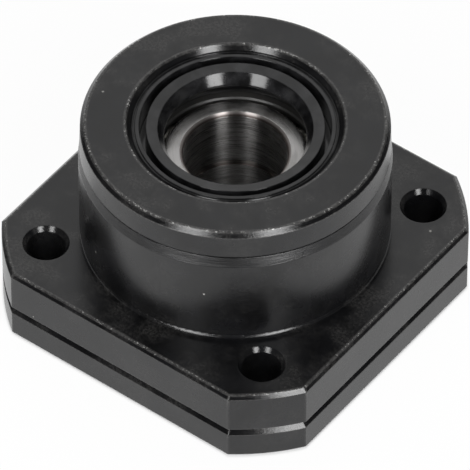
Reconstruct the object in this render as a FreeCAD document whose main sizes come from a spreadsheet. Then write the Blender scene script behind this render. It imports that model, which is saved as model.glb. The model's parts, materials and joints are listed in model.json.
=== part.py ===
import FreeCAD, Part
import os
import re
import Sketcher

# Flange-mounted support unit for the driven end of a ball screw.
# A black steel housing holds two angular contact ball bearings, set face to face, between an
# oil seal in the boss and an oil seal in the retaining plate, which is screwed on from below.
# Lengths are in millimetres. The origin is on the screw axis, at the outer face of the retaining
# plate, and +Z points out of the boss. The flange's flats face along X and Y.

doc = FreeCAD.newDocument("SupportUnit")
sheet = doc.addObject("Spreadsheet::Sheet", "Sizes")

size_table = [
    ("clamp_height", 6.15, "outer face of the retaining plate to the end of its spigot, which clamps the bearings"),
    ("flange_flats", 44.0, "width of the flange across its flats"),
    ("flange_thickness", 10.0, "flange and retaining plate together"),
    ("plate_thickness", 4.4, "retaining plate without its spigot"),
    ("preload_gap", 0.1, "seam that stays open when the plate clamps the bearings"),
    ("flange_chamfer", 0.45, "edge of the flange on the boss side"),
    ("flange_edge_break", 0.12, "edge of the flange at the seam"),
    ("plate_seam_chamfer", 0.8, "edge of the retaining plate at the seam"),
    ("plate_outer_chamfer", 0.4, "edge of the retaining plate at its outer face"),
    ("pilot_diameter", 36.0, "locating diameter of the boss"),
    ("lead_drop", 0.15, "lead-in land below the locating surface, at its lower edge"),
    ("lead_end_drop", 0.25, "lead-in land below the locating surface, at its chamfer"),
    ("lead_height", 3.5, "lead-in land with the boss chamfer"),
    ("boss_chamfer", 0.55, "top edge of the boss"),
    ("relief_drop", 0.52, "depth of the shallow relief below the land"),
    ("relief_step", 0.15, "height of the relief's steep flank"),
    ("relief_root", 0.18, "height of the relief's straight root"),
    ("relief_ledge", 0.2, "width of the ledge at the foot of the root"),
    ("relief_taper", 1.37, "height of the relief's gentle flank"),
    ("neck_drop", 0.35, "depth of the undercut where the boss meets the flange"),
    ("neck_height", 0.5, "straight part of the undercut"),
    ("neck_fillet", 0.35, "root radius of the undercut"),
    ("mouth_chamfer", 0.57, "lead-in of each seal seat"),
    ("seat_chamfer", 0.5, "lead-in of the bearing seat"),
    ("bearing_shoulder", 2.0, "step from the bearing seat in to the seal seat"),
    ("seal_gap", 0.33, "inner end of the seal to the bearing"),
    ("seat_clearance", 0.01, "radial clearance of the bearing and the spigot in the bearing seat"),
    ("spigot_chamfer", 0.3, "outer edge of the spigot"),
    ("mount_circle", 44.0, "circle of the mounting holes"),
    ("mount_corner", 5.0, "centre of a mounting hole to the flange's rounded corner"),
    ("mount_hole", 4.5, "mounting holes for M4 cap screws"),
    ("mount_chamfer", 0.5, "mouth of the mounting holes"),
    ("mount_head_hole", 8.0, "holes for the cap screw heads through the retaining plate"),
    ("screw_thread", 3.0, "thread of the plate screws"),
    ("screw_length", 5.0, "plate screws under the head"),
    ("screw_head", 5.5, "head diameter of the plate screws"),
    ("screw_head_height", 3.0, "head height of the plate screws"),
    ("screw_head_sink", 0.1, "heads below the plate's outer face"),
    ("screw_head_clearance", 0.25, "radial clearance round the heads"),
    ("screw_passage", 0.2, "radial clearance round the shanks in the plate"),
    ("screw_thread_clearance", 0.02, "radial clearance of the shanks in the tapped holes"),
    ("screw_point", 0.3, "chamfer at the end of the shanks"),
    ("screw_socket", 2.5, "hexagon socket across its flats"),
    ("screw_socket_depth", 1.3, "depth of the hexagon socket"),
    ("screw_head_edge", 0.25, "round of the head's outer edge"),
    ("tapped_spare", 0.15, "straight part of the tapped holes beyond the ends of the screws"),
    ("tapped_point", 0.9, "height of the drill point in the tapped holes"),
    ("shaft_diameter", 12.0, "bore of the bearings"),
    ("bearing_diameter", 28.0, "outside of the bearings and their seat"),
    ("bearing_width", 8.0, "width of one bearing"),
    ("bearing_depth", 4.85, "top of the boss to the bearing shoulder"),
    ("ball_diameter", 4.762, "balls, 3/16 inch"),
    ("race_clearance", 0.05, "running clearance of a ball in its raceways"),
    ("inner_low_shoulder", 0.58, "inner ring's outward side above the bottom of its raceway"),
    ("inner_high_shoulder", 1.33, "inner ring's meeting side above the bottom of its raceway"),
    ("inner_setback", 0.03, "inner ring's face behind the plane where the bearings meet"),
    ("outer_high_shoulder", 1.13, "outer ring's outward side above the bottom of its raceway"),
    ("outer_low_shoulder", 0.53, "outer ring's counterbored side at the raceway, above its bottom"),
    ("outer_low_mouth", 0.28, "outer ring's counterbored side at its face, above the raceway's bottom"),
    ("bore_chamfer", 0.4, "bore edge of the inner rings at their outward face"),
    ("meeting_chamfer", 0.38, "bore edge of the inner rings where they meet"),
    ("inner_ring_round", 0.25, "outer edges of the inner rings"),
    ("outer_ring_round", 0.4, "outer edges of the outer rings"),
    ("outer_ring_lip", 0.2, "inner edges of the outer rings"),
    ("cage_thickness", 1.7, "radial thickness of the cage"),
    ("cage_offset", 0.1, "middle of the cage outside the pitch circle"),
    ("cage_width", 6.5, "cage width"),
    ("cage_edge", 0.2, "chamfered edges of the cage"),
    ("pocket_clearance", 0.12, "radial clearance of a ball in its pocket"),
    ("seal_ridge_width", 0.28, "outer ridge of the seal's face"),
    ("seal_ridge_groove", 0.22, "width of the fine groove inside the ridge"),
    ("seal_ridge_groove_depth", 0.25, "depth of the fine groove"),
    ("seal_rim_width", 0.48, "flat rim inside the fine groove"),
    ("seal_rim_drop", 0.06, "rim below the ridge"),
    ("seal_channel_width", 0.82, "deep channel between the rim and the lip"),
    ("seal_web", 1.0, "thickness of the seal under the channel"),
    ("seal_lip_drop", 0.2, "lip's flat face below the ridge, at the channel"),
    ("seal_lip_fall", 0.2, "how much the flat face falls towards the bore"),
    ("seal_lip_face", 1.3, "width of the lip's flat face"),
    ("seal_lip_reach", 0.73, "lip's edge inside the flat face, at the foot of its funnel"),
    ("seal_lip_height", 2.1, "lip's edge above the seal's inner end"),
    ("seal_lip_slope", 0.12, "height of the lip's rounded edge to each side"),
    ("seal_lip_relief", 0.03, "how far the lip's rounded edge stands back at its ends"),
    ("seal_inner_flare", 1.08, "seal's bore at its inner end, outside the lip's edge"),
    ("case_cover", 0.3, "rubber round the outside of the steel case"),
    ("case_sheet", 0.4, "sheet thickness of the steel case"),
    ("case_rim_depth", 0.95, "rim of the steel case below the seal's ridge"),
    ("case_floor", 1.9, "width of the steel case's floor"),
]

for row, (alias, number, meaning) in enumerate(size_table, start=1):
    sheet.set("A%d" % row, alias)
    sheet.set("B%d" % row, str(number))
    sheet.set("C%d" % row, meaning)
    sheet.setAlias("B%d" % row, alias)
doc.recompute()

aliases = {alias for alias, number, meaning in size_table}

mount_count = 4
screw_count = 4
flat_count = 4
corner_turn = 45
ball_count = 10
near = 1e-4

# Heights and radii that follow from the sizes above
flange_base = "(plate_thickness + preload_gap)"
bearing_bottom = "clamp_height"
bearing_middle = "(clamp_height + bearing_width)"
bearing_top = "(clamp_height + 2 * bearing_width)"
boss_top = "(clamp_height + 2 * bearing_width + bearing_depth)"
land_base = "(%s - lead_height)" % boss_top
land_top = "(%s - boss_chamfer)" % boss_top
seal_height = "(bearing_depth - mouth_chamfer - seal_gap)"
seat_radius = "(bearing_diameter / 2)"
seal_radius = "(bearing_diameter / 2 - bearing_shoulder)"
pitch_radius = "((shaft_diameter + bearing_diameter) / 4)"
ball_radius = "(ball_diameter / 2)"
race_radius = "(ball_diameter / 2 + race_clearance)"
inner_race = "(%s - %s)" % (pitch_radius, race_radius)
outer_race = "(%s + %s)" % (pitch_radius, race_radius)
corner_radius = "(mount_circle / 2 + mount_corner)"
pilot_radius = "(pilot_diameter / 2)"
neck_radius = "(pilot_diameter / 2 - neck_drop)"
screw_place = "(bearing_diameter / 4 + flange_flats / 4)"
screw_head_seat = "(screw_head_sink + screw_head_height)"
screw_end = "(%s + screw_length)" % screw_head_seat


def bound(formula):
    """Give each size in a formula the name of the sheet that holds it."""
    return re.sub("[a-z_]+", lambda word: "Sizes." + word.group() if word.group() in aliases else word.group(), formula)


def measure(formula):
    """The present value of a formula, in millimetres."""
    return float(sheet.evalExpression(bound(formula)))


def origin_item(body, role):
    """One of the body's own origin planes or axes."""
    return next(item for item in body.Origin.OriginFeatures if item.Role == role)


def new_body(label, height="0", upside_down=False):
    """A body for one piece, at a height on the screw axis."""
    body = doc.addObject("PartDesign::Body", label)
    body.Label = label
    if upside_down:
        body.Placement.Rotation = FreeCAD.Rotation(FreeCAD.Vector(1, 0, 0), 180)
    body.setExpression("Placement.Base.z", bound(height))
    return body


def new_sketch(body, name, role):
    sketch = body.newObject("Sketcher::SketchObject", name)
    sketch.AttachmentSupport = (origin_item(body, role), [""])
    sketch.MapMode = "FlatFace"
    return sketch


def hold(sketch, kind, first, second, formula):
    """Hold a distance between two points of a sketch, each a pair of curve and end."""
    number = sketch.addConstraint(Sketcher.Constraint(kind, *first, *second, measure(formula)))
    sketch.setExpression("Constraints[%d]" % number, bound(formula))


def draw_outline(sketch, corners):
    """A closed outline of straight lines. Each corner is a pair of formulas, across and up."""
    places = [FreeCAD.Vector(measure(across), measure(up), 0) for across, up in corners]
    sketch.addGeometry([Part.LineSegment(a, b) for a, b in zip(places, places[1:] + places[:1])], False)
    last = len(places) - 1
    for line in range(len(places)):
        follower = 0 if line == last else line + 1
        sketch.addConstraint(Sketcher.Constraint("Coincident", line, 2, follower, 1))
    for line, (across, up) in enumerate(corners):
        if across == "0":
            sketch.addConstraint(Sketcher.Constraint("PointOnObject", line, 1, -2))
        else:
            hold(sketch, "DistanceX", (-1, 1), (line, 1), across)
        if up == "0":
            sketch.addConstraint(Sketcher.Constraint("PointOnObject", line, 1, -1))
        else:
            hold(sketch, "DistanceY", (-1, 1), (line, 1), up)


def draw_circle(sketch, across, up, radius):
    """A circle whose centre and radius are formulas."""
    centre = FreeCAD.Vector(measure(across), measure(up), 0)
    circle = sketch.addGeometry(Part.Circle(centre, FreeCAD.Vector(0, 0, 1), measure(radius)), False)
    number = sketch.addConstraint(Sketcher.Constraint("Radius", circle, measure(radius)))
    sketch.setExpression("Constraints[%d]" % number, bound(radius))
    if across == "0":
        sketch.addConstraint(Sketcher.Constraint("PointOnObject", circle, 3, -2))
    else:
        hold(sketch, "DistanceX", (-1, 1), (circle, 3), across)
    if up == "0":
        sketch.addConstraint(Sketcher.Constraint("PointOnObject", circle, 3, -1))
    else:
        hold(sketch, "DistanceY", (-1, 1), (circle, 3), up)


def revolve(body, name, kind, corners):
    """Turn an outline of radii and heights about the body's own Z axis."""
    sketch = new_sketch(body, name + "Profile", "XZ_Plane")
    draw_outline(sketch, corners)
    feature = body.newObject("PartDesign::" + kind, name)
    feature.Profile = sketch
    feature.ReferenceAxis = (sketch, ["V_Axis"])
    feature.Angle = 360
    doc.recompute()
    return feature


def drill(body, name, centre, turn, corners):
    """Turn a hole's outline about its own axis, at a distance from Z and turned from +X by an angle in degrees."""
    sketch = new_sketch(body, name + "Profile", "XZ_Plane")
    sketch.AttachmentOffset = FreeCAD.Placement(FreeCAD.Vector(), FreeCAD.Rotation(FreeCAD.Vector(0, 1, 0), turn))
    draw_outline(sketch, [("%s + %s" % (centre, across), up) for across, up in corners])
    foot = FreeCAD.Vector(measure(centre), 0, 0)
    axis = sketch.addGeometry(Part.LineSegment(foot, foot + FreeCAD.Vector(0, 1, 0)), True)
    sketch.addConstraint(Sketcher.Constraint("Vertical", axis))
    sketch.addConstraint(Sketcher.Constraint("PointOnObject", axis, 1, -1))
    hold(sketch, "DistanceX", (-1, 1), (axis, 1), centre)
    hold(sketch, "DistanceY", (-1, 1), (axis, 2), "flange_thickness")
    feature = body.newObject("PartDesign::Groove", name)
    feature.Profile = sketch
    feature.ReferenceAxis = (sketch, ["Axis0"])
    feature.Angle = 360
    doc.recompute()
    return feature


def repeat_round(body, name, feature, count):
    """Repeat a feature evenly about the screw axis."""
    pattern = body.newObject("PartDesign::PolarPattern", name)
    pattern.Originals = [feature]
    pattern.Axis = (origin_item(body, "Z_Axis"), [""])
    pattern.Angle = 360
    pattern.Occurrences = count
    body.Tip = pattern
    doc.recompute()
    return pattern


def ring_edges(shape, radius, height):
    """Names of the circular edges of a radius at a height."""
    names = []
    for number, edge in enumerate(shape.Edges, start=1):
        curve = edge.Curve
        if not isinstance(curve, Part.Circle):
            continue
        if abs(curve.Radius - measure(radius)) < near and abs(curve.Center.z - measure(height)) < near:
            names.append("Edge%d" % number)
    return names


def dress(body, name, kind, edges, formula):
    """Chamfer or fillet the named edges of the body's last feature."""
    feature = body.newObject("PartDesign::" + kind, name)
    feature.Base = (feature.BaseFeature or body.Tip, edges)
    feature.setExpression("Size" if kind == "Chamfer" else "Radius", bound(formula))
    body.Tip = feature
    doc.recompute()
    return feature


def turn_blank(body, name, base, top, lower_chamfer, upper_chamfer):
    """The round blank of a flange plate, with both edges chamfered."""
    revolve(body, name, "Revolution", [
        ("0", base),
        (corner_radius + " - " + lower_chamfer, base),
        (corner_radius, base + " + " + lower_chamfer),
        (corner_radius, top + " - " + upper_chamfer),
        (corner_radius + " - " + upper_chamfer, top),
        ("0", top),
    ])


def mill_flats(body, name, base, top, lower_chamfer, upper_chamfer):
    """Four flats on the blank, chamfered as its edges are. They leave four rounded corners."""
    sketch = new_sketch(body, name + "Outline", "XZ_Plane")
    draw_outline(sketch, [
        ("flange_flats / 2 - " + lower_chamfer, base),
        ("2 * " + corner_radius, base),
        ("2 * " + corner_radius, top),
        ("flange_flats / 2 - " + upper_chamfer, top),
        ("flange_flats / 2", top + " - " + upper_chamfer),
        ("flange_flats / 2", base + " + " + lower_chamfer),
    ])
    flat = body.newObject("PartDesign::Pocket", name)
    flat.Profile = sketch
    flat.Type = "ThroughAll"
    flat.Midplane = True
    doc.recompute()
    repeat_round(body, name + "Round", flat, flat_count)


def build_housing():
    """One turned and milled piece: the flange, the boss and the stepped bore."""
    body = new_body("housing")
    flange_edges = (flange_base, "flange_thickness", "flange_edge_break", "flange_chamfer")
    turn_blank(body, "Flange", *flange_edges)
    shoulder = "(neck_height + %s - %s)" % (pilot_radius, neck_radius)
    ledge_height = "(%s - relief_step - relief_root)" % land_base
    revolve(body, "Boss", "Revolution", [
        ("0", flange_base),
        (neck_radius, flange_base),
        (neck_radius, "flange_thickness + neck_height"),
        (pilot_radius, "flange_thickness + " + shoulder),
        (pilot_radius, ledge_height + " - relief_taper"),
        (pilot_radius + " - relief_drop + relief_ledge", ledge_height),
        (pilot_radius + " - relief_drop", ledge_height),
        (pilot_radius + " - relief_drop", land_base + " - relief_step"),
        (pilot_radius + " - lead_drop", land_base),
        (pilot_radius + " - lead_end_drop", land_top),
        (pilot_radius + " - lead_end_drop - boss_chamfer", boss_top),
        ("0", boss_top),
    ])
    dress(body, "NeckRoot", "Fillet", ring_edges(body.Tip.Shape, neck_radius, "flange_thickness"), "neck_fillet")
    mill_flats(body, "Flat", *flange_edges)
    revolve(body, "SteppedBore", "Groove", [
        ("0", flange_base),
        (seat_radius + " + seat_chamfer", flange_base),
        (seat_radius, flange_base + " + seat_chamfer"),
        (seat_radius, bearing_top),
        (seal_radius, bearing_top),
        (seal_radius, boss_top + " - mouth_chamfer"),
        (seal_radius + " + mouth_chamfer", boss_top),
        ("0", boss_top),
    ])
    mount = drill(body, "MountHole", "mount_circle / 2", corner_turn, [
        ("0", flange_base),
        ("mount_hole / 2", flange_base),
        ("mount_hole / 2", "flange_thickness - mount_chamfer"),
        ("mount_hole / 2 + mount_chamfer", "flange_thickness"),
        ("0", "flange_thickness"),
    ])
    repeat_round(body, "MountHoleRound", mount, mount_count)
    tapped_radius = "(screw_thread / 2 + screw_thread_clearance)"
    tapped = drill(body, "TappedHole", screw_place, 0, [
        ("0", flange_base),
        (tapped_radius, flange_base),
        (tapped_radius, screw_end + " + tapped_spare"),
        ("0", screw_end + " + tapped_spare + tapped_point"),
    ])
    repeat_round(body, "TappedHoleRound", tapped, screw_count)
    return body


def build_retaining_plate():
    """The plate under the flange. Its spigot clamps the bearings, and its bore holds the lower seal."""
    body = new_body("retaining_plate")
    plate_edges = ("0", "plate_thickness", "plate_outer_chamfer", "plate_seam_chamfer")
    turn_blank(body, "Plate", *plate_edges)
    mill_flats(body, "Flat", *plate_edges)
    spigot_radius = "(%s - seat_clearance)" % seat_radius
    revolve(body, "Spigot", "Revolution", [
        ("0", "plate_thickness / 2"),
        (spigot_radius, "plate_thickness / 2"),
        (spigot_radius, bearing_bottom + " - spigot_chamfer"),
        (spigot_radius + " - spigot_chamfer", bearing_bottom),
        ("0", bearing_bottom),
    ])
    revolve(body, "SealBore", "Groove", [
        ("0", "0"),
        (seal_radius + " + mouth_chamfer", "0"),
        (seal_radius, "mouth_chamfer"),
        (seal_radius, bearing_bottom),
        ("0", bearing_bottom),
    ])
    head_hole = drill(body, "HeadHole", "mount_circle / 2", corner_turn, [
        ("0", "0"),
        ("mount_head_hole / 2", "0"),
        ("mount_head_hole / 2", "plate_thickness"),
        ("0", "plate_thickness"),
    ])
    repeat_round(body, "HeadHoleRound", head_hole, mount_count)
    head_hole_radius = "(screw_head / 2 + screw_head_clearance)"
    passage_radius = "(screw_thread / 2 + screw_passage)"
    counterbore = drill(body, "ScrewHole", screw_place, 0, [
        ("0", "0"),
        (head_hole_radius, "0"),
        (head_hole_radius, screw_head_seat),
        (passage_radius, screw_head_seat),
        (passage_radius, "plate_thickness"),
        ("0", "plate_thickness"),
    ])
    repeat_round(body, "ScrewHoleRound", counterbore, screw_count)
    return body


def build_plate_screws():
    """Socket head cap screws that hold the plate, heads down."""
    screws = []
    for number in range(screw_count):
        body = new_body("plate_screw_%d" % (number + 1), "screw_head_sink")
        turn = "%d deg" % (number * 360 // screw_count)
        body.setExpression("Placement.Base.x", bound("%s * cos(%s)" % (screw_place, turn)))
        body.setExpression("Placement.Base.y", bound("%s * sin(%s)" % (screw_place, turn)))
        end = "screw_head_height + screw_length"
        revolve(body, "HeadAndShank", "Revolution", [
            ("0", "0"),
            ("screw_head / 2", "0"),
            ("screw_head / 2", "screw_head_height"),
            ("screw_thread / 2", "screw_head_height"),
            ("screw_thread / 2", end + " - screw_point"),
            ("screw_thread / 2 - screw_point", end),
            ("0", end),
        ])
        socket = body.newObject("PartDesign::SubtractivePrism", "Socket")
        socket.Polygon = 6
        socket.setExpression("Circumradius", bound("screw_socket / 2 / cos(30 deg)"))
        socket.setExpression("Height", bound("screw_socket_depth"))
        body.Tip = socket
        doc.recompute()
        dress(body, "HeadEdge", "Fillet", ring_edges(body.Tip.Shape, "screw_head / 2", "0"), "screw_head_edge")
        screws.append(body)
    group = doc.addObject("Part::Compound", "plate_screws")
    group.Label = "plate_screws"
    group.Links = screws
    return group


def build_seal(end, height, upside_down):
    """An oil seal: moulded rubber on a pressed steel case. Its base is the end near the bearing."""
    rubber = new_body(end + "_seal", height, upside_down)
    face = seal_height
    ridge_inner = "(%s - seal_ridge_width)" % seal_radius
    rim_outer = "(%s - seal_ridge_groove)" % ridge_inner
    rim_inner = "(%s - seal_rim_width)" % rim_outer
    lip_outer = "(%s - seal_channel_width)" % rim_inner
    lip_inner = "(%s - seal_lip_face)" % lip_outer
    lip_edge = "(%s - seal_lip_reach)" % lip_inner
    lip_back = "(%s + seal_lip_relief)" % lip_edge
    case_wall = "(%s - case_cover)" % seal_radius
    case_bore_wall = "(%s - case_sheet)" % case_wall
    case_hole = "(%s - case_floor)" % case_wall
    case_rim = "(%s - case_rim_depth)" % face
    revolve(rubber, "Moulding", "Revolution", [
        (case_wall, "0"),
        (seal_radius, "0"),
        (seal_radius, face),
        (ridge_inner, face),
        (ridge_inner, face + " - seal_ridge_groove_depth"),
        (rim_outer, face + " - seal_ridge_groove_depth"),
        (rim_outer, face + " - seal_rim_drop"),
        (rim_inner, face + " - seal_rim_drop"),
        (rim_inner, "seal_web"),
        (lip_outer, "seal_web"),
        (lip_outer, face + " - seal_lip_drop"),
        (lip_inner, face + " - seal_lip_drop - seal_lip_fall"),
        (lip_back, "seal_lip_height + seal_lip_slope"),
        (lip_edge, "seal_lip_height"),
        (lip_back, "seal_lip_height - seal_lip_slope"),
        (lip_edge + " + seal_inner_flare", "0"),
        (case_hole, "0"),
        (case_hole, "case_sheet"),
        (case_bore_wall, "case_sheet"),
        (case_bore_wall, case_rim),
        (case_wall, case_rim),
    ])
    case = new_body(end + "_seal_case", height, upside_down)
    revolve(case, "Pressing", "Revolution", [
        (case_hole, "0"),
        (case_wall, "0"),
        (case_wall, case_rim),
        (case_bore_wall, case_rim),
        (case_bore_wall, "case_sheet"),
        (case_hole, "case_sheet"),
    ])
    return [rubber, case]


def cut_raceway(body):
    """The round raceway, a torus about the pitch circle."""
    sketch = new_sketch(body, "RacewayProfile", "XZ_Plane")
    draw_circle(sketch, pitch_radius, "bearing_width / 2", race_radius)
    groove = body.newObject("PartDesign::Groove", "Raceway")
    groove.Profile = sketch
    groove.ReferenceAxis = (sketch, ["V_Axis"])
    groove.Angle = 360
    body.Tip = groove
    doc.recompute()


def build_inner_ring(end, height, upside_down):
    """Low shoulder at the outward face, high shoulder where the two bearings meet."""
    body = new_body(end + "_inner_ring", height, upside_down)
    meeting_face = "bearing_width - inner_setback"
    low_shoulder = inner_race + " + inner_low_shoulder"
    high_shoulder = inner_race + " + inner_high_shoulder"
    revolve(body, "Ring", "Revolution", [
        ("shaft_diameter / 2", "0"),
        (low_shoulder, "0"),
        (low_shoulder, "bearing_width / 2"),
        (high_shoulder, "bearing_width / 2"),
        (high_shoulder, meeting_face),
        ("shaft_diameter / 2", meeting_face),
    ])
    cut_raceway(body)
    mouth = ring_edges(body.Tip.Shape, "shaft_diameter / 2", "0")
    dress(body, "BoreMouth", "Chamfer", mouth, "bore_chamfer")
    meeting_edge = ring_edges(body.Tip.Shape, "shaft_diameter / 2", meeting_face)
    dress(body, "MeetingEdge", "Chamfer", meeting_edge, "meeting_chamfer")
    rims = ring_edges(body.Tip.Shape, low_shoulder, "0") + ring_edges(body.Tip.Shape, high_shoulder, meeting_face)
    dress(body, "Rims", "Fillet", rims, "inner_ring_round")
    return body


def build_outer_ring(end, height, upside_down):
    """High shoulder at the outward face, counterbored side where the two bearings meet."""
    body = new_body(end + "_outer_ring", height, upside_down)
    outside = "(%s - seat_clearance)" % seat_radius
    high_shoulder = outer_race + " - outer_high_shoulder"
    revolve(body, "Ring", "Revolution", [
        (high_shoulder, "0"),
        (outside, "0"),
        (outside, "bearing_width"),
        (outer_race + " - outer_low_mouth", "bearing_width"),
        (outer_race + " - outer_low_shoulder", "bearing_width / 2"),
        (high_shoulder, "bearing_width / 2"),
    ])
    cut_raceway(body)
    rims = ring_edges(body.Tip.Shape, outside, "0") + ring_edges(body.Tip.Shape, outside, "bearing_width")
    dress(body, "Rims", "Fillet", rims, "outer_ring_round")
    dress(body, "Lip", "Fillet", ring_edges(body.Tip.Shape, high_shoulder, "0"), "outer_ring_lip")
    return body


def build_cage(end, height, upside_down):
    """A moulded window cage with one round pocket for each ball."""
    body = new_body(end + "_cage", height, upside_down)
    base = "(bearing_width / 2 - cage_width / 2)"
    top = "(bearing_width / 2 + cage_width / 2)"
    inside = "(%s + cage_offset - cage_thickness / 2)" % pitch_radius
    outside = "(%s + cage_offset + cage_thickness / 2)" % pitch_radius
    revolve(body, "Band", "Revolution", [
        (inside + " + cage_edge", base),
        (outside + " - cage_edge", base),
        (outside, base + " + cage_edge"),
        (outside, top + " - cage_edge"),
        (outside + " - cage_edge", top),
        (inside + " + cage_edge", top),
        (inside, top + " - cage_edge"),
        (inside, base + " + cage_edge"),
    ])
    solid_band = body.Shape.Volume
    sketch = new_sketch(body, "PocketOutline", "YZ_Plane")
    draw_circle(sketch, "0", "bearing_width / 2", ball_radius + " + pocket_clearance")
    window = body.newObject("PartDesign::Pocket", "Window")
    window.Profile = sketch
    window.Type = "ThroughAll"
    window.Reversed = True
    doc.recompute()
    if solid_band - body.Shape.Volume < near:
        raise RuntimeError("the cage's pocket cuts nothing")
    repeat_round(body, "Windows", window, ball_count)
    return body


def build_balls(end, middle):
    """The balls of one bearing, evenly spaced on the pitch circle."""
    balls = []
    for number in range(ball_count):
        label = "%s_ball_%02d" % (end, number + 1)
        ball = doc.addObject("Part::Sphere", label)
        ball.Label = label
        turn = "%d deg" % (number * 360 // ball_count)
        ball.setExpression("Radius", bound(ball_radius))
        ball.setExpression("Placement.Base.x", bound("%s * cos(%s)" % (pitch_radius, turn)))
        ball.setExpression("Placement.Base.y", bound("%s * sin(%s)" % (pitch_radius, turn)))
        ball.setExpression("Placement.Base.z", bound(middle))
        balls.append(ball)
    return balls


def build_bearing(end, height, upside_down, middle):
    """One angular contact bearing, standing on its outward face."""
    rings = [build(end, height, upside_down) for build in (build_outer_ring, build_inner_ring, build_cage)]
    return rings + build_balls(end, middle)


pieces = [build_housing(), build_retaining_plate(), build_plate_screws()]
pieces += build_seal("front", "%s - mouth_chamfer - %s" % (boss_top, seal_height), False)
pieces += build_seal("rear", "mouth_chamfer + " + seal_height, True)
pieces += build_bearing("front", bearing_top, True, bearing_middle + " + bearing_width / 2")
pieces += build_bearing("rear", bearing_bottom, False, bearing_bottom + " + bearing_width / 2")
doc.recompute()

for item in doc.Objects:
    if "Invalid" in item.State or "Error" in item.State:
        raise RuntimeError("%s is not built: %s" % (item.Label, item.State))
for piece in pieces:
    if piece.Shape.isNull() or not piece.Shape.isValid():
        raise RuntimeError("%s has no valid shape" % piece.Label)

os.makedirs("parts", exist_ok=True)
for piece in pieces:
    piece.Shape.exportStep("parts/%s.step" % piece.Label)
    box = piece.Shape.BoundBox
    print("%-20s %d solid(s), %.1f mm3, z %.2f to %.2f" % (
        piece.Label, len(piece.Shape.Solids), piece.Shape.Volume, box.ZMin, box.ZMax))
print("%d pieces" % len(pieces))
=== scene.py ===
import json
import math

import bmesh
import bpy
from mathutils import Matrix, Vector


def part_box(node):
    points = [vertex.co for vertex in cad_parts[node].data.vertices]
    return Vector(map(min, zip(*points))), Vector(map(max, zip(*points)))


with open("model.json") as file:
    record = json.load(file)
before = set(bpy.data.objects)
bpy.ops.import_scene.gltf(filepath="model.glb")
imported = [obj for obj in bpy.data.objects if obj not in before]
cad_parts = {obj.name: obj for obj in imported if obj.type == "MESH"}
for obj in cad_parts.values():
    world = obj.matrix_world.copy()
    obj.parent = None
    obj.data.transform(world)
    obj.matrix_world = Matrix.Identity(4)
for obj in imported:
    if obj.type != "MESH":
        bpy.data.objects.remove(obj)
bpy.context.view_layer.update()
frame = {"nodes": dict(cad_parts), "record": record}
nodes = frame["nodes"]
subparts = frame["record"]["subparts"]

mm = 0.001
micrometre = 0.001 * mm
middle = (0.35, 0.65)  # a noise mostly lies between these levels
whole = (0.3, 0.7)  # and hardly ever leaves these
surfaceIor = 1.5  # of oil, rubber and plastic alike
housingLow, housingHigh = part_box("housing")
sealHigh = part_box("front_seal")[1]

# Sizes in millimetres that the patterns follow. The frame gives the outside ones
unit = {
    "halfFlats": housingHigh.x / mm,
    "cornerRadius": 27.0,
    "flangeTop": 10.0,
    "flangeBase": housingLow.z / mm,
    "flangeChamfer": 0.45,
    "flangeBreak": 0.1,
    "plateTop": 4.4,
    "plateChamfer": 0.8,
    "plateOuterChamfer": 0.4,
    "bossTop": housingHigh.z / mm,
    "bossRadius": 18.0,
    "landRadius": 17.75,
    "bossChamfer": 0.55,
    "mouthRadius": 12.57,
    "sealRadius": sealHigh.x / mm,
}


# Small helpers for node trees

def addNode(tree, kind, **settings):
    node = tree.nodes.new(kind)
    for name, value in settings.items():
        setattr(node, name, value)
    return node


def plug(tree, target, value):  # a number or colour is set, another socket is linked
    if isinstance(value, bpy.types.NodeSocket):
        tree.links.new(value, target)
    else:
        target.default_value = value


def doMath(tree, operation, first, second=None, third=None, clamp=False):
    node = addNode(tree, "ShaderNodeMath", operation=operation, use_clamp=clamp)
    for socket, value in zip(node.inputs, (first, second, third)):
        if value is not None:
            plug(tree, socket, value)
    return node.outputs[0]


def doVector(tree, operation, first, second=None, scale=None):
    node = addNode(tree, "ShaderNodeVectorMath", operation=operation)
    plug(tree, node.inputs[0], first)
    if second is not None:
        plug(tree, node.inputs[1], second)
    if scale is not None:
        plug(tree, node.inputs["Scale"], scale)
    return node.outputs["Value" if operation in ("LENGTH", "DOT_PRODUCT") else "Vector"]


def splitVector(tree, vector):
    node = addNode(tree, "ShaderNodeSeparateXYZ")
    plug(tree, node.inputs[0], vector)
    return node.outputs[0], node.outputs[1], node.outputs[2]


def joinVector(tree, x, y, z):
    node = addNode(tree, "ShaderNodeCombineXYZ")
    for socket, value in zip(node.inputs, (x, y, z)):
        plug(tree, socket, value)
    return node.outputs[0]


def mapRange(tree, value, fromLow, fromHigh, toLow=0.0, toHigh=1.0):
    node = addNode(tree, "ShaderNodeMapRange", interpolation_type="SMOOTHSTEP")
    given = (value, fromLow, fromHigh, toLow, toHigh)
    for name, number in zip(("Value", "From Min", "From Max", "To Min", "To Max"), given):
        plug(tree, node.inputs[name], number)
    return node.outputs["Result"]


def between(tree, value, low, high, soft=0.1):
    return doMath(tree, "MULTIPLY", mapRange(tree, value, low - soft, low + soft),
                  mapRange(tree, value, high - soft, high + soft, 1.0, 0.0))


def mixColour(tree, amount, first, second):
    node = addNode(tree, "ShaderNodeMix", data_type="RGBA")
    for socket, value in ((node.inputs[0], amount), (node.inputs[6], first), (node.inputs[7], second)):
        plug(tree, socket, value)
    return node.outputs[2]


def noise(tree, place, scale, detail=2.0, roughness=0.5):  # a dictionary keeps the last three in one entry
    node = addNode(tree, "ShaderNodeTexNoise", noise_dimensions="3D")
    plug(tree, node.inputs["Vector"], place)
    plug(tree, node.inputs["Scale"], scale)
    node.inputs["Detail"].default_value = detail
    node.inputs["Roughness"].default_value = roughness
    return node.outputs[0]


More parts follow.
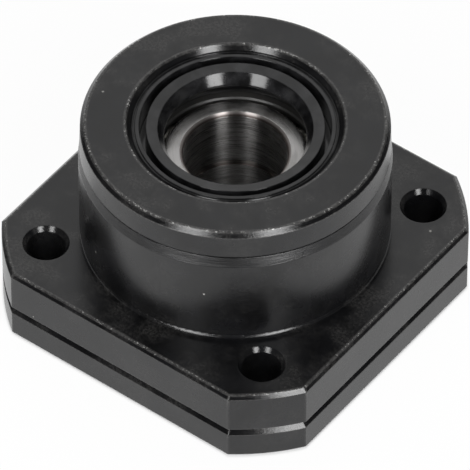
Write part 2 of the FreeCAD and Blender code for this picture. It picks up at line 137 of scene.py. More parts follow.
def makePatches(tree, place, share, start, reach, soft, settings):  # a larger share gives more of them
    limit = doMath(tree, "SUBTRACT", start, doMath(tree, "MULTIPLY", share, reach))
    return mapRange(tree, noise(tree, place, *settings), limit, doMath(tree, "ADD", limit, soft))


def newGroup(name, inputs, outputs):
    group = bpy.data.node_groups.new(name, "ShaderNodeTree")
    kinds = {"value": "NodeSocketFloat", "vector": "NodeSocketVector"}
    for label, kind, start in inputs:
        socket = group.interface.new_socket(name=label, in_out="INPUT", socket_type=kinds[kind])
        if start is not None:
            socket.default_value = start
    for label, kind in outputs:
        group.interface.new_socket(name=label, in_out="OUTPUT", socket_type=kinds[kind])
    given = addNode(group, "NodeGroupInput").outputs
    put = addNode(group, "NodeGroupOutput").inputs
    return group, given, put


def placeGroup(tree, group, **values):  # edgeAcross goes to the socket called Edge Across
    node = addNode(tree, "ShaderNodeGroup", node_tree=group)
    for name, value in values.items():
        label = "".join(" " + letter if letter.isupper() else letter for letter in name).title()
        plug(tree, node.inputs[label], value)
    return node.outputs


# Shared effects. Their noises are scaled to millimetres

turning = {
    "wallRate": 1.37,  # how fast the rings follow each other up a wall, against over a face
    "marks": (1.0, 2.0, 0.65),
    "bands": (1.0, 1.0),
    "bandPitches": 9.0,
}
wear = {
    "levels": (0.3, 1.0),
    "unevenness": (2.5, 3.0, 0.7),
    "nearEnough": 0.6,
    "patches": {"start": 0.8, "reach": 0.45, "soft": 0.1, "settings": (0.3, 4.0, 0.75)},
    "chips": (3.2, 4.0, 0.75),
    "chipLimit": 0.69,
    "chipEase": 0.16,  # the limit is this much lower on the edge itself
    "chipSoft": 0.05,
}
dotCore = 0.4  # a speck is solid this far out, and fades beyond
scuffing = {
    "acrossRate": 7.0,
    "roundRate": 5.0,
    "streaks": (1.0, 2.0, 0.6),
    "levels": (0.56, 0.72),
    "patches": {"start": 0.75, "reach": 0.45, "soft": 0.2, "settings": (0.13, 2.0)},
}


def makePlaceGroup():  # where a point lies on the turned and milled form, in millimetres
    group, _, put = newGroup("placeOnUnit", [], [
        ("Place", "vector"), ("Radius", "value"), ("Height", "value"), ("Outline", "value"),
        ("Corner", "value"), ("Rings", "vector"), ("Upward", "value")])
    coordinates = addNode(group, "ShaderNodeTexCoord")
    place = doVector(group, "SCALE", coordinates.outputs["Object"], scale=1 / mm)
    x, y, z = splitVector(group, place)
    radius = doVector(group, "LENGTH", joinVector(group, x, y, 0.0))
    across = doMath(group, "MAXIMUM", doMath(group, "ABSOLUTE", x), doMath(group, "ABSOLUTE", y))
    pastFlat = doMath(group, "SUBTRACT", across, unit["halfFlats"])
    pastCorner = doMath(group, "SUBTRACT", radius, unit["cornerRadius"])
    outline = doMath(group, "MAXIMUM", pastFlat, pastCorner)
    fromCorner = doMath(group, "ABSOLUTE", doMath(group, "SUBTRACT", pastFlat, pastCorner))
    along = doMath(group, "MULTIPLY_ADD", z, turning["wallRate"], radius)  # grows over faces and walls alike
    rings = joinVector(group, along, doMath(group, "DIVIDE", x, radius), doMath(group, "DIVIDE", y, radius))
    upward = splitVector(group, coordinates.outputs["Normal"])[2]
    for label, value in (("Place", place), ("Radius", radius), ("Height", z), ("Outline", outline),
                         ("Corner", fromCorner), ("Rings", rings), ("Upward", upward)):
        plug(group, put[label], value)
    return group


def makeTurningMarks():  # fine grooves that run round the axis, and slow bands of them
    group, given, put = newGroup("turningMarks", [
        ("Rings", "vector", None), ("Pitch", "value", 0.2), ("Sway", "value", 0.6)],
        [("Marks", "value"), ("Bands", "value")])
    along, cosine, sine = splitVector(group, given["Rings"])
    sways = [doMath(group, "MULTIPLY", part, given["Sway"]) for part in (cosine, sine)]
    bandPitch = doMath(group, "MULTIPLY", given["Pitch"], turning["bandPitches"])
    fine = joinVector(group, doMath(group, "DIVIDE", along, given["Pitch"]), *sways)
    wide = joinVector(group, doMath(group, "DIVIDE", along, bandPitch), *sways)
    plug(group, put["Marks"], noise(group, fine, *turning["marks"]))
    plug(group, put["Bands"], noise(group, wide, *turning["bands"]))
    return group


def makeEdgeLine():  # along one edge, a rubbed line and the bright flecks in it
    group, given, put = newGroup("edgeLine", [
        ("Place", "vector", None), ("Across", "value", 0.0), ("Height", "value", 0.0),
        ("Edge Across", "value", 0.0), ("Edge Height", "value", 0.0),
        ("Width", "value", 0.1), ("Share", "value", 0.5)],
        [("Rubbed", "value"), ("Flecks", "value")])
    aside = doMath(group, "SUBTRACT", given["Across"], given["Edge Across"])
    above = doMath(group, "SUBTRACT", given["Height"], given["Edge Height"])
    distance = doVector(group, "LENGTH", joinVector(group, aside, above, 0.0))
    away = doMath(group, "DIVIDE", distance, given["Width"])
    nearness = doMath(group, "SUBTRACT", 1.0, away, clamp=True)
    uneven = mapRange(group, noise(group, given["Place"], *wear["unevenness"]), *middle, *wear["levels"])
    rubbed = doMath(group, "MULTIPLY", mapRange(group, nearness, 0.0, wear["nearEnough"]), uneven)
    plug(group, put["Rubbed"], rubbed)
    patches = makePatches(group, given["Place"], given["Share"], **wear["patches"])
    overLimit = doMath(group, "SUBTRACT", noise(group, given["Place"], *wear["chips"]), wear["chipLimit"])
    reach = doMath(group, "MULTIPLY_ADD", nearness, wear["chipEase"], overLimit)
    chips = doMath(group, "MULTIPLY", mapRange(group, reach, 0.0, wear["chipSoft"]),
                   doMath(group, "GREATER_THAN", nearness, 0.0))
    plug(group, put["Flecks"], doMath(group, "MULTIPLY", chips, patches))
    return group


def makeSpecks():  # scattered pale dots, dust and lint
    group, given, put = newGroup("specks", [
        ("Place", "vector", None), ("Spacing", "value", 3.0), ("Size", "value", 0.1), ("Share", "value", 0.3)],
        [("Mask", "value")])
    cells = addNode(group, "ShaderNodeTexVoronoi", feature="F1")
    plug(group, cells.inputs["Vector"], given["Place"])
    plug(group, cells.inputs["Scale"], doMath(group, "DIVIDE", 1.0, given["Spacing"]))
    pick = splitVector(group, cells.outputs["Color"])
    size = doMath(group, "MULTIPLY", doMath(group, "DIVIDE", given["Size"], given["Spacing"]), pick[1])
    dot = mapRange(group, cells.outputs["Distance"], doMath(group, "MULTIPLY", size, dotCore), size, 1.0, 0.0)
    chosen = doMath(group, "LESS_THAN", pick[0], given["Share"])
    plug(group, put["Mask"], doMath(group, "MULTIPLY", dot, chosen))
    return group


def makeScuffs():  # faint rubbed streaks round the axis
    group, given, put = newGroup("scuffs", [
        ("Rings", "vector", None), ("Place", "vector", None), ("Share", "value", 0.3)], [("Mask", "value")])
    along, cosine, sine = splitVector(group, given["Rings"])
    streak = joinVector(group, doMath(group, "MULTIPLY", along, scuffing["acrossRate"]),
                        doMath(group, "MULTIPLY", cosine, scuffing["roundRate"]),
                        doMath(group, "MULTIPLY", sine, scuffing["roundRate"]))
    lines = mapRange(group, noise(group, streak, *scuffing["streaks"]), *scuffing["levels"])
    areas = makePatches(group, given["Place"], given["Share"], **scuffing["patches"])
    plug(group, put["Mask"], doMath(group, "MULTIPLY", lines, areas))
    return group


placeOnUnit = makePlaceGroup()
turningMarks = makeTurningMarks()
edgeLine = makeEdgeLine()
specks = makeSpecks()
scuffs = makeScuffs()
print("shared effects made")


# Materials

def newMaterial(name):
    material = bpy.data.materials.new(name)
    material.use_nodes = True
    tree = material.node_tree
    return material, tree, tree.nodes["Principled BSDF"]


def addBump(tree, height, distance, normal):
    bump = addNode(tree, "ShaderNodeBump")
    plug(tree, bump.inputs["Height"], height)
    bump.inputs["Distance"].default_value = distance
    plug(tree, bump.inputs["Normal"], normal)
    return bump.outputs[0]


def roundedNormal(tree, radius):  # softens the light on sharp edges
    bevel = addNode(tree, "ShaderNodeBevel", samples=6)
    bevel.inputs["Radius"].default_value = radius
    return bevel.outputs[0]


def withoutSideLean(tree, place, normal, amount):  # a turned face leans neither way round the axis
    sideways = doVector(tree, "NORMALIZE", doVector(tree, "CROSS_PRODUCT", (0, 0, 1), place))
    lean = doMath(tree, "MULTIPLY", doVector(tree, "DOT_PRODUCT", normal, sideways), amount)
    return doVector(tree, "SUBTRACT", normal, doVector(tree, "SCALE", sideways, scale=lean))


def stretchAcrossGrooves(tree, shader, amount):  # the grooves run round the axis
    tangent = addNode(tree, "ShaderNodeTangent", direction_type="RADIAL", axis="Z")
    plug(tree, shader.inputs["Tangent"], tangent.outputs[0])
    shader.inputs["Anisotropic"].default_value = amount
    shader.inputs["Anisotropic Rotation"].default_value = 0.25  # a quarter turn


blackening = {
    "colour": (0.0034, 0.0034, 0.0037, 1),
    "coolColour": (0.0052, 0.0053, 0.006, 1),
    "wornColour": (0.34, 0.335, 0.325, 1),
    "rubbedColour": (0.05, 0.049, 0.048, 1),
    "hazeColour": (0.034, 0.033, 0.032, 1),
    "dustColour": (0.3, 0.295, 0.28, 1),
    "haze": 0.8,
    "wallHaze": 0.35,  # what is left of it on the walls
    "scuff": 0.3,
    "dusted": 0.7,
    "faceRoughness": 0.23,
    "wallRoughness": 0.27,
    "chamferRoughness": 0.12,
    "blotchRoughness": 0.1,
    "scuffRoughness": 0.12,
    "wornRoughness": 0.15,
    "wornMetal": 0.4,
    "edgeRadius": 0.17 * mm,
    # relief in micrometres
    "grainRelief": 0.42,
    "turningRelief": 0.6,
    "rimPits": 16.0,
    "mouthPits": 7.0,
    "chamferPits": 12.0,
    "flankGrooves": 18.0,
    # noises, scaled to millimetres
    "blotches": (0.22, 3.0, 0.6),
    "clouds": (0.17, 4.0, 0.65),
    "cloudLevels": (0.42, 0.66),
    "mottling": (3.0, 3.0, 0.7),
    "mottleFloor": 0.15,
    "grain": (9.0, 3.0, 0.7),
    "pits": (4.5, 3.0, 0.7),
    "dust": {"spacing": 2.6, "size": 0.24, "share": 0.3},
    "scuffShare": 0.3,
    "turning": {"pitch": 0.21, "sway": 0.9},
    "coarseCut": {"pitch": 0.05, "sway": 0.9},
    # ranges of levelness, which is 0 on walls and 1 on faces
    "wallToChamfer": (0.05, 0.4),
    "chamferLevels": (0.5, 0.93),
    "chamferSoft": 0.05,
    "chamferToFace": (0.85, 0.97),
    "hazeLevels": (0.3, 0.95),
    "mouthEnd": (3.0, 4.0),  # outside the mouth's radius
    "rimStart": (0.7, 0.5),  # below the boss's top
    "flank": (21.8, 23.3),
    "flankLean": 0.16,  # the flank's coarse cut faces upward more than the flank does
    "turnedMargin": 0.4,  # past the boss, the housing is milled
    "corners": {"width": 0.15, "share": 0.5},
    "cornerFade": (2.0, 0.5),  # below the flange's top
    "cornerFoot": 0.25,
    # each worn edge: radius or outline, its place across, its height, width and share
    "edges": [
        ("Radius", unit["landRadius"] - unit["bossChamfer"], unit["bossTop"], 0.34, 0.85),
        ("Radius", unit["landRadius"], unit["bossTop"] - unit["bossChamfer"], 0.12, 0.35),
        ("Radius", unit["mouthRadius"], unit["bossTop"], 0.34, 0.8),
        ("Outline", -unit["flangeChamfer"], unit["flangeTop"], 0.3, 0.85),
        ("Outline", 0.0, unit["flangeTop"] - unit["flangeChamfer"], 0.08, 0.3),
        ("Outline", 0.0, unit["flangeBase"] + unit["flangeBreak"], 0.08, 0.5),
        ("Outline", 0.0, unit["plateTop"] - unit["plateChamfer"], 0.07, 0.35),
        ("Outline", 0.0, unit["plateOuterChamfer"], 0.07, 0.35),
    ],
}


def findEdgeWear(tree, place):  # round the turned and milled edges, and down the flange's upright corners
    rubbed, worn = 0.0, 0.0
    for across, edgeAcross, edgeHeight, width, share in blackening["edges"]:
        edge = placeGroup(tree, edgeLine, place=place["Place"], across=place[across], height=place["Height"],
                          edgeAcross=edgeAcross, edgeHeight=edgeHeight, width=width, share=share)
        rubbed = doMath(tree, "MAXIMUM", edge["Rubbed"], rubbed)
        worn = doMath(tree, "MAXIMUM", edge["Flecks"], worn)
    corner = placeGroup(tree, edgeLine, place=place["Place"], across=place["Corner"], **blackening["corners"])
    onSide = doMath(tree, "GREATER_THAN", place["Outline"], -unit["flangeChamfer"])
    fadeHeights = [unit["flangeTop"] - below for below in blackening["cornerFade"]]
    fade = mapRange(tree, place["Height"], *fadeHeights, blackening["cornerFoot"], 1.0)
    onCorner = doMath(tree, "MULTIPLY", onSide, fade)
    rubbed = doMath(tree, "MAXIMUM", doMath(tree, "MULTIPLY", corner["Rubbed"], onCorner), rubbed)
    worn = doMath(tree, "MAXIMUM", doMath(tree, "MULTIPLY", corner["Flecks"], onCorner), worn)
    return rubbed, worn


def layHaze(tree, place, levelness):  # clouds of pale haze, broken up finely, weaker on the walls
    mottling = noise(tree, place["Place"], *blackening["mottling"])
    broken = mapRange(tree, mottling, *middle, blackening["mottleFloor"], 1.0)
    clouds = mapRange(tree, noise(tree, place["Place"], *blackening["clouds"]), *blackening["cloudLevels"])
    onWalls = mapRange(tree, levelness, *blackening["hazeLevels"], blackening["wallHaze"], 1.0)
    clouds = doMath(tree, "MULTIPLY", doMath(tree, "MULTIPLY", clouds, broken), onWalls)
    return doMath(tree, "MULTIPLY", clouds, blackening["haze"])


def cutSteel(tree, place, levelness):  # grooves, grain and pits, and the normal of the turned forms
    mouthRadii = [unit["mouthRadius"] + further for further in blackening["mouthEnd"]]
    rimHeights = [unit["bossTop"] - below for below in blackening["rimStart"]]
    outside = mapRange(tree, place["Radius"], *mouthRadii)
    rim = mapRange(tree, place["Height"], *rimHeights)
    sloping = between(tree, levelness, *blackening["chamferLevels"], blackening["chamferSoft"])
    rimPits = mapRange(tree, outside, 0.0, 1.0, blackening["mouthPits"], blackening["rimPits"])
    pitted = doMath(tree, "MULTIPLY", sloping, mapRange(tree, rim, 0.0, 1.0, blackening["chamferPits"], rimPits))
    flank = doMath(tree, "MULTIPLY", outside, between(tree, place["Height"], *blackening["flank"]))
    marks = placeGroup(tree, turningMarks, rings=place["Rings"], **blackening["turning"])["Marks"]
    grooves = placeGroup(tree, turningMarks, rings=place["Rings"], **blackening["coarseCut"])["Marks"]
    grain = noise(tree, place["Place"], *blackening["grain"])
    pits = noise(tree, place["Place"], *blackening["pits"])
    relief = doMath(tree, "MULTIPLY", marks, blackening["turningRelief"])
    relief = doMath(tree, "MULTIPLY_ADD", grain, blackening["grainRelief"], relief)
    relief = doMath(tree, "MULTIPLY_ADD", pitted, pits, relief)
    coarse = doMath(tree, "MULTIPLY", flank, grooves)
    relief = doMath(tree, "MULTIPLY_ADD", coarse, blackening["flankGrooves"], relief)
    turned = doMath(tree, "LESS_THAN", place["Radius"], unit["bossRadius"] + blackening["turnedMargin"])
    normal = withoutSideLean(tree, place["Place"], roundedNormal(tree, blackening["edgeRadius"]), turned)
    leaning = joinVector(tree, 0.0, 0.0, doMath(tree, "MULTIPLY", flank, blackening["flankLean"]))
    normal = doVector(tree, "NORMALIZE", doVector(tree, "ADD", normal, leaning))
    return addBump(tree, relief, micrometre, normal)


def makeBlackenedSteel():
    material, tree, shader = newMaterial("blackenedSteel")
    place = placeGroup(tree, placeOnUnit)
    levelness = doMath(tree, "ABSOLUTE", place["Upward"])
    rubbedEdges, worn = findEdgeWear(tree, place)
    scuffed = placeGroup(tree, scuffs, rings=place["Rings"], place=place["Place"],
                         share=blackening["scuffShare"])["Mask"]
    dust = placeGroup(tree, specks, place=place["Place"], **blackening["dust"])["Mask"]
    blotches = noise(tree, place["Place"], *blackening["blotches"])
    colour = mixColour(tree, mapRange(tree, blotches, *middle), blackening["colour"], blackening["coolColour"])
    colour = mixColour(tree, layHaze(tree, place, levelness), colour, blackening["hazeColour"])
    scuffTint = doMath(tree, "MULTIPLY", scuffed, blackening["scuff"])
    colour = mixColour(tree, scuffTint, colour, blackening["hazeColour"])
    colour = mixColour(tree, rubbedEdges, colour, blackening["rubbedColour"])
    colour = mixColour(tree, worn, colour, blackening["wornColour"])
    dusted = doMath(tree, "MULTIPLY", dust, blackening["dusted"])
    plug(tree, shader.inputs["Base Color"], mixColour(tree, dusted, colour, blackening["dustColour"]))
    roughness = mapRange(tree, levelness, *blackening["wallToChamfer"], blackening["wallRoughness"],
                         blackening["chamferRoughness"])
    roughness = mapRange(tree, levelness, *blackening["chamferToFace"], roughness, blackening["faceRoughness"])
    blotched = doMath(tree, "SUBTRACT", blotches, 0.5)
    for mask, amount in ((blotched, "blotchRoughness"), (scuffed, "scuffRoughness"), (worn, "wornRoughness")):
        roughness = doMath(tree, "MULTIPLY_ADD", mask, blackening[amount], roughness)
    plug(tree, shader.inputs["Roughness"], roughness)
    plug(tree, shader.inputs["Metallic"], doMath(tree, "MULTIPLY", worn, blackening["wornMetal"]))
    shader.inputs["IOR"].default_value = surfaceIor
    plug(tree, shader.inputs["Normal"], cutSteel(tree, place, levelness))
    return material


screwFinish = {
    "colour": (0.02, 0.02, 0.021, 1),
    "wornColour": (0.2, 0.195, 0.19, 1),
    "worn": 0.4,
    "roughness": (0.26, 0.4),
    "blotches": (1.4, 3.0, 0.6),
    "rubbing": (5.0, 4.0, 0.7),
    "rubbingLevels": (0.6, 0.75),
    "grain": (12.0, 2.0),
    "grainDepth": 2.0 * micrometre,
    "edgeRadius": 0.08 * mm,
}


def makeScrewSteel():
    material, tree, shader = newMaterial("screwSteel")
    place = placeGroup(tree, placeOnUnit)["Place"]
    rubbed = mapRange(tree, noise(tree, place, *screwFinish["rubbing"]), *screwFinish["rubbingLevels"])
    worn = doMath(tree, "MULTIPLY", rubbed, screwFinish["worn"])
    plug(tree, shader.inputs["Base Color"],
         mixColour(tree, worn, screwFinish["colour"], screwFinish["wornColour"]))
    blotches = noise(tree, place, *screwFinish["blotches"])
    plug(tree, shader.inputs["Roughness"], mapRange(tree, blotches, *whole, *screwFinish["roughness"]))
    shader.inputs["IOR"].default_value = surfaceIor
    plug(tree, shader.inputs["Normal"], addBump(
        tree, noise(tree, place, *screwFinish["grain"]), screwFinish["grainDepth"],
        roundedNormal(tree, screwFinish["edgeRadius"])))
    return material


groundSteel = {
    "colour": (0.43, 0.422, 0.415, 1),
    "dullColour": (0.31, 0.303, 0.297, 1),
    "oilColour": (0.22, 0.208, 0.19, 1),
    "lipShadeColour": (0.08, 0.066, 0.062, 1),
    "lipHighlightColour": (0.4, 0.37, 0.355, 1),
    "jointShadeColour": (0.03, 0.028, 0.025, 1),
    "oil": 0.5,
    "jointShade": 0.85,
    "faceRoughness": 0.2,
    "lipRoughness": 0.16,  # added on the bore's chamfer
    "boreRoughness": 0.28,
    "grooveRoughness": 0.25,
    "stretch": 1.0,
    "edgeRadius": 0.3 * mm,
    "turning": {"pitch": 0.13, "sway": 1.6},
    "bandLevels": (0.35, 0.7),
    "stains": (0.5, 4.0, 0.6),
    "stainLevels": (0.5, 0.72),
    "chamferLevels": (0.45, 0.85),
    "boreToFace": (0.8, 0.95),
    "lip": (6.08, 6.3),  # radii over which the chamfer runs from painted shade at the bore to a painted highlight near the face
    "joint": (13.84, 14.56),  # heights of the painted shade where the two rings meet
    "jointSoft": 0.04,
}


def makeBearingSteel():
    material, tree, shader = newMaterial("bearingSteel")
    place = placeGroup(tree, placeOnUnit)
    levelness = doMath(tree, "ABSOLUTE", place["Upward"])
    marks = placeGroup(tree, turningMarks, rings=place["Rings"], **groundSteel["turning"])
    dull = mapRange(tree, marks["Bands"], *groundSteel["bandLevels"])
    colour = mixColour(tree, dull, groundSteel["colour"], groundSteel["dullColour"])
    stains = noise(tree, place["Place"], *groundSteel["stains"])
    oiled = mapRange(tree, stains, *groundSteel["stainLevels"], 0.0, groundSteel["oil"])
    colour = mixColour(tree, oiled, colour, groundSteel["oilColour"])
    lip = between(tree, levelness, *groundSteel["chamferLevels"])
    # painted light: the bore's chamfer is painted dark towards the bore as shade and pale near the face as a
    # highlight; its warm tint is the steel's own
    lipPaintedLight = mixColour(tree, mapRange(tree, place["Radius"], *groundSteel["lip"]), groundSteel["lipShadeColour"],
                        groundSteel["lipHighlightColour"])
    colour = mixColour(tree, lip, colour, lipPaintedLight)
    # painted shade: the joint where the two rings meet is darkened, standing in for shade deep in the bore
    joint = between(tree, place["Height"], *groundSteel["joint"], groundSteel["jointSoft"])
    jointShade = doMath(tree, "MULTIPLY", joint, groundSteel["jointShade"])
    plug(tree, shader.inputs["Base Color"], mixColour(tree, jointShade, colour, groundSteel["jointShadeColour"]))
    shader.inputs["Metallic"].default_value = 1.0
    stretchAcrossGrooves(tree, shader, groundSteel["stretch"])
    roughness = mapRange(tree, levelness, *groundSteel["boreToFace"], groundSteel["boreRoughness"],
                         groundSteel["faceRoughness"])
    roughness = doMath(tree, "MULTIPLY_ADD", lip, groundSteel["lipRoughness"], roughness)
    uneven = doMath(tree, "SUBTRACT", marks["Marks"], 0.5)
    roughness = doMath(tree, "MULTIPLY_ADD", uneven, groundSteel["grooveRoughness"], roughness)
    plug(tree, shader.inputs["Roughness"], roughness)
    plug(tree, shader.inputs["Normal"], addBump(
        tree, marks["Marks"], micrometre, roundedNormal(tree, groundSteel["edgeRadius"])))
    return material


ballFinish = {
    # the balls' dark colour and their darker grease patches are partly a real grease film and partly painted
    # shade for balls deep inside the bearing
    "colour": (0.16, 0.155, 0.14, 1),
    "greaseAndShadeColour": (0.05, 0.045, 0.035, 1),
    "grease": 0.6,
    "film": (1.1, 3.0),
    "filmLevels": (0.45, 0.7),
    "roughness": (0.22, 0.4),
}


def makeBallSteel():
    material, tree, shader = newMaterial("ballSteel")
    film = noise(tree, placeGroup(tree, placeOnUnit)["Place"], *ballFinish["film"])
    greasedAndShaded = mapRange(tree, film, *ballFinish["filmLevels"], 0.0, ballFinish["grease"])
    plug(tree, shader.inputs["Base Color"],
         mixColour(tree, greasedAndShaded, ballFinish["colour"], ballFinish["greaseAndShadeColour"]))
    shader.inputs["Metallic"].default_value = 1.0
    plug(tree, shader.inputs["Roughness"], mapRange(tree, film, *whole, *ballFinish["roughness"]))
    return material


cageFinish = {
    "colour": (0.018, 0.018, 0.018, 1),
    "paleColour": (0.035, 0.034, 0.032, 1),
    "tone": (0.6, 2.0),
    "grain": (8.0, 3.0, 0.6),
    "grainDepth": 4.0 * micrometre,
    "edgeRadius": 0.06 * mm,
    "roughness": (0.3, 0.42),
}


def makeCagePlastic():
    material, tree, shader = newMaterial("cagePlastic")
    place = placeGroup(tree, placeOnUnit)["Place"]
    grain = noise(tree, place, *cageFinish["grain"])
    plug(tree, shader.inputs["Base Color"],
         mixColour(tree, noise(tree, place, *cageFinish["tone"]), cageFinish["colour"], cageFinish["paleColour"]))
    plug(tree, shader.inputs["Roughness"], mapRange(tree, grain, *whole, *cageFinish["roughness"]))
    shader.inputs["IOR"].default_value = surfaceIor
    plug(tree, shader.inputs["Normal"],
         addBump(tree, grain, cageFinish["grainDepth"], roundedNormal(tree, cageFinish["edgeRadius"])))
    return material


sealFinish = {
    "colour": (0.005, 0.005, 0.0053, 1),
    "bloomColour": (0.016, 0.016, 0.017, 1),
    "dustColour": (0.2, 0.2, 0.19, 1),
    "dusted": 0.4,
    "dust": {"spacing": 1.5, "size": 0.13, "share": 0.16},
    "bloom": (0.45, 3.0, 0.6),
    "bloomLevels": (0.4, 0.7),
    "roughness": (0.08, 0.15),
    "grain": (7.0, 3.0, 0.6),
    "grainDepth": 3.0 * micrometre,
    "edgeRadius": 0.2 * mm,
    "ridge": (unit["sealRadius"] - 0.26, unit["sealRadius"] - 0.04),
    "ridgeLevel": 0.9,
    "ridgeLean": (0.6, 1.05),  # the ridge round the seal is moulded with a rounded outer edge
}


def makeSealRubber():
    material, tree, shader = newMaterial("sealRubber")
    place = placeGroup(tree, placeOnUnit)
    bloom = noise(tree, place["Place"], *sealFinish["bloom"])
    bloomed = mapRange(tree, bloom, *sealFinish["bloomLevels"])
    colour = mixColour(tree, bloomed, sealFinish["colour"], sealFinish["bloomColour"])
    dust = placeGroup(tree, specks, place=place["Place"], **sealFinish["dust"])["Mask"]
    dusted = doMath(tree, "MULTIPLY", dust, sealFinish["dusted"])
    plug(tree, shader.inputs["Base Color"], mixColour(tree, dusted, colour, sealFinish["dustColour"]))
    plug(tree, shader.inputs["Roughness"], mapRange(tree, bloom, *whole, *sealFinish["roughness"]))
    shader.inputs["IOR"].default_value = surfaceIor
    onRidge = doMath(tree, "MULTIPLY", doMath(tree, "GREATER_THAN", place["Radius"], sealFinish["ridge"][0]),
                     doMath(tree, "GREATER_THAN", place["Upward"], sealFinish["ridgeLevel"]))
    lean = mapRange(tree, place["Radius"], *sealFinish["ridge"], *sealFinish["ridgeLean"])
    lean = doMath(tree, "MULTIPLY", onRidge, lean)
    outward = doVector(tree, "NORMALIZE", doVector(tree, "MULTIPLY", place["Place"], (1, 1, 0)))
    normal = doVector(tree, "ADD", roundedNormal(tree, sealFinish["edgeRadius"]),
                      doVector(tree, "SCALE", outward, scale=lean))
    grain = noise(tree, place["Place"], *sealFinish["grain"])
    plug(tree, shader.inputs["Normal"],
         addBump(tree, grain, sealFinish["grainDepth"], doVector(tree, "NORMALIZE", normal)))
    return material


pressedFinish = {
    "colour": (0.36, 0.355, 0.345, 1),
    "brightColour": (0.5, 0.495, 0.485, 1),
    "roughness": (0.28, 0.4),
    "turning": {"pitch": 0.3, "sway": 1.2},
}


def makePressedSteel():
    material, tree, shader = newMaterial("pressedSteel")
    place = placeGroup(tree, placeOnUnit)
    marks = placeGroup(tree, turningMarks, rings=place["Rings"], **pressedFinish["turning"])
    plug(tree, shader.inputs["Base Color"],
         mixColour(tree, marks["Bands"], pressedFinish["colour"], pressedFinish["brightColour"]))
    shader.inputs["Metallic"].default_value = 1.0
    plug(tree, shader.inputs["Roughness"], mapRange(tree, marks["Marks"], *whole, *pressedFinish["roughness"]))
    return material


finishes = {
    "blackened_steel": makeBlackenedSteel(),
    "screw_steel": makeScrewSteel(),
    "bearing_steel": makeBearingSteel(),
    "ball_steel": makeBallSteel(),
    "cage_plastic": makeCagePlastic(),
    "seal_rubber": makeSealRubber(),
    "pressed_steel": makePressedSteel(),
}
for part in subparts:
    piece = nodes[part["node"]]
    for slot in piece.material_slots:
        slot.material = finishes[part["material_slot"]]
print("finishes given to", len(subparts), "nodes")


# Studio

studio = {
    "floorSize": 8.0,
    "floorDrop": 0.02 * mm,
    "floorColour": (0.93, 0.93, 0.93, 1),
    "floorShade": 0.985,  # of the darker parts of its faint clouds
    "floorClouds": (3.0, 2.0),
    "floorRoughness": 0.9,
    "floorGlow": 0.94,
    "glowStart": (-0.3, 0.3),  # past the unit's outline, in millimetres
    "cameraAzimuth": 37.06,
    "cameraElevation": 46.85,
    "cameraRoll": 0.154,
    "cameraDistance": 0.8878,
    "cameraAim": (1.437 * mm, -1.93 * mm, 10.736 * mm),
    "clipEnd": 20.0,
    "lens": 590.03,
    "sensor": 36.0,
    "skyTilt": 43.0,
    "skyInner": 32.0,
    "skyOuter": 48.0,
    "skyLevel": 0.92,
    "darkLevel": 0.05,
    "boxDistance": 1.4,
}
softboxes = [  # the azimuth is counted from the camera's
    {"name": "softboxLeft", "azimuth": -31.0, "foot": 0.15, "width": 0.49, "height": 2.15, "radiance": 8.5},
    {"name": "softboxRight", "azimuth": 27.5, "foot": 0.1, "width": 0.46, "height": 2.2, "radiance": 10.5},
]


def directionTo(azimuth, elevation):  # azimuth 0 stands at -Y, and 90 at +X
    turn, rise = math.radians(azimuth), math.radians(elevation)
    return Vector((math.sin(turn) * math.cos(rise), -math.cos(turn) * math.cos(rise), math.sin(rise)))


def makeFloor():
    mesh = bmesh.new()
    bmesh.ops.create_grid(mesh, x_segments=1, y_segments=1, size=studio["floorSize"] / 2)
    bmesh.ops.translate(mesh, verts=mesh.verts, vec=(0, 0, -studio["floorDrop"]))
    data = bpy.data.meshes.new("floor")
    mesh.to_mesh(data)
    mesh.free()
    floor = bpy.data.objects.new("floor", data)
    bpy.context.scene.collection.objects.link(floor)
    material, tree, shader = newMaterial("paleFloor")
    coordinates = addNode(tree, "ShaderNodeTexCoord")
    clouds = noise(tree, coordinates.outputs["Object"], *studio["floorClouds"])
    shade = tuple(part * studio["floorShade"] for part in studio["floorColour"][:3]) + (1,)
    plug(tree, shader.inputs["Base Color"], mixColour(tree, clouds, shade, studio["floorColour"]))
    shader.inputs["Roughness"].default_value = studio["floorRoughness"]
    shader.inputs["Specular IOR Level"].default_value = 0.0
    path = addNode(tree, "ShaderNodeLightPath")
    seen = doMath(tree, "MAXIMUM", path.outputs["Is Camera Ray"], path.outputs["Is Glossy Ray"])
    seen = doMath(tree, "MAXIMUM", seen, path.outputs["Is Transmission Ray"])
    outside = placeGroup(tree, placeOnUnit)["Outline"]
    glow = mapRange(tree, outside, *studio["glowStart"], 0.0, studio["floorGlow"])  # none under the unit
    emission = addNode(tree, "ShaderNodeEmission")
    mix = addNode(tree, "ShaderNodeMixShader")
    plug(tree, mix.inputs[0], doMath(tree, "MULTIPLY", seen, glow))
    plug(tree, mix.inputs[1], shader.outputs[0])
    plug(tree, mix.inputs[2], emission.outputs[0])
    plug(tree, tree.nodes["Material Output"].inputs["Surface"], mix.outputs[0])
    data.materials.append(material)


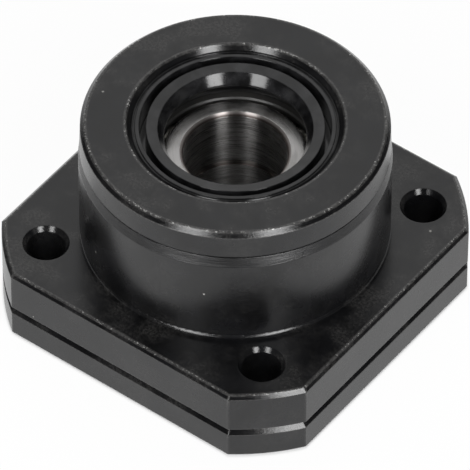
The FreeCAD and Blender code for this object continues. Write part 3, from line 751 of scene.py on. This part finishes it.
def makeSky():  # a bright ceiling that leans away from the camera, plain white where it is seen directly
    world = bpy.data.worlds.new("studioSky")
    world.use_nodes = True
    tree = world.node_tree
    background = tree.nodes["Background"]
    background.inputs["Color"].default_value = (1, 1, 1, 1)
    axis = directionTo(studio["cameraAzimuth"] + 180, 90 - studio["skyTilt"])
    coordinates = addNode(tree, "ShaderNodeTexCoord")
    cosine = doVector(tree, "DOT_PRODUCT", coordinates.outputs["Generated"], tuple(axis))
    outer, inner = (math.cos(math.radians(studio[edge])) for edge in ("skyOuter", "skyInner"))
    ceiling = mapRange(tree, cosine, outer, inner, studio["darkLevel"], studio["skyLevel"])
    path = addNode(tree, "ShaderNodeLightPath")
    plug(tree, background.inputs["Strength"], doMath(tree, "MAXIMUM", ceiling, path.outputs["Is Camera Ray"]))
    bpy.context.scene.world = world


def makeSoftbox(name, azimuth, foot, width, height, radiance):  # a tall panel that stands upright
    lamp = bpy.data.lights.new(name, "AREA")
    lamp.shape = "RECTANGLE"
    lamp.size, lamp.size_y = width, height
    lamp.energy = radiance * math.pi * width * height
    softbox = bpy.data.objects.new(name, lamp)
    towards = directionTo(studio["cameraAzimuth"] + azimuth, 0)
    softbox.location = towards * studio["boxDistance"] + Vector((0, 0, foot + height / 2))
    softbox.rotation_euler = towards.to_track_quat("Z", "Y").to_euler()
    softbox.visible_camera = False
    bpy.context.scene.collection.objects.link(softbox)


def makeCamera():
    data = bpy.data.cameras.new("camera")
    data.lens, data.sensor_width = studio["lens"], studio["sensor"]
    data.clip_end = studio["clipEnd"]
    camera = bpy.data.objects.new("camera", data)
    back = directionTo(studio["cameraAzimuth"], studio["cameraElevation"])
    camera.rotation_mode = "QUATERNION"
    roll = Matrix.Rotation(math.radians(studio["cameraRoll"]), 3, "Z").to_quaternion()
    camera.rotation_quaternion = (-back).to_track_quat("-Z", "Y") @ roll
    camera.location = Vector(studio["cameraAim"]) + back * studio["cameraDistance"]
    bpy.context.scene.collection.objects.link(camera)
    bpy.context.scene.camera = camera


makeFloor()
makeSky()
for softbox in softboxes:
    makeSoftbox(**softbox)
makeCamera()
bpy.context.scene.view_settings.view_transform = "Standard"
print("studio set")
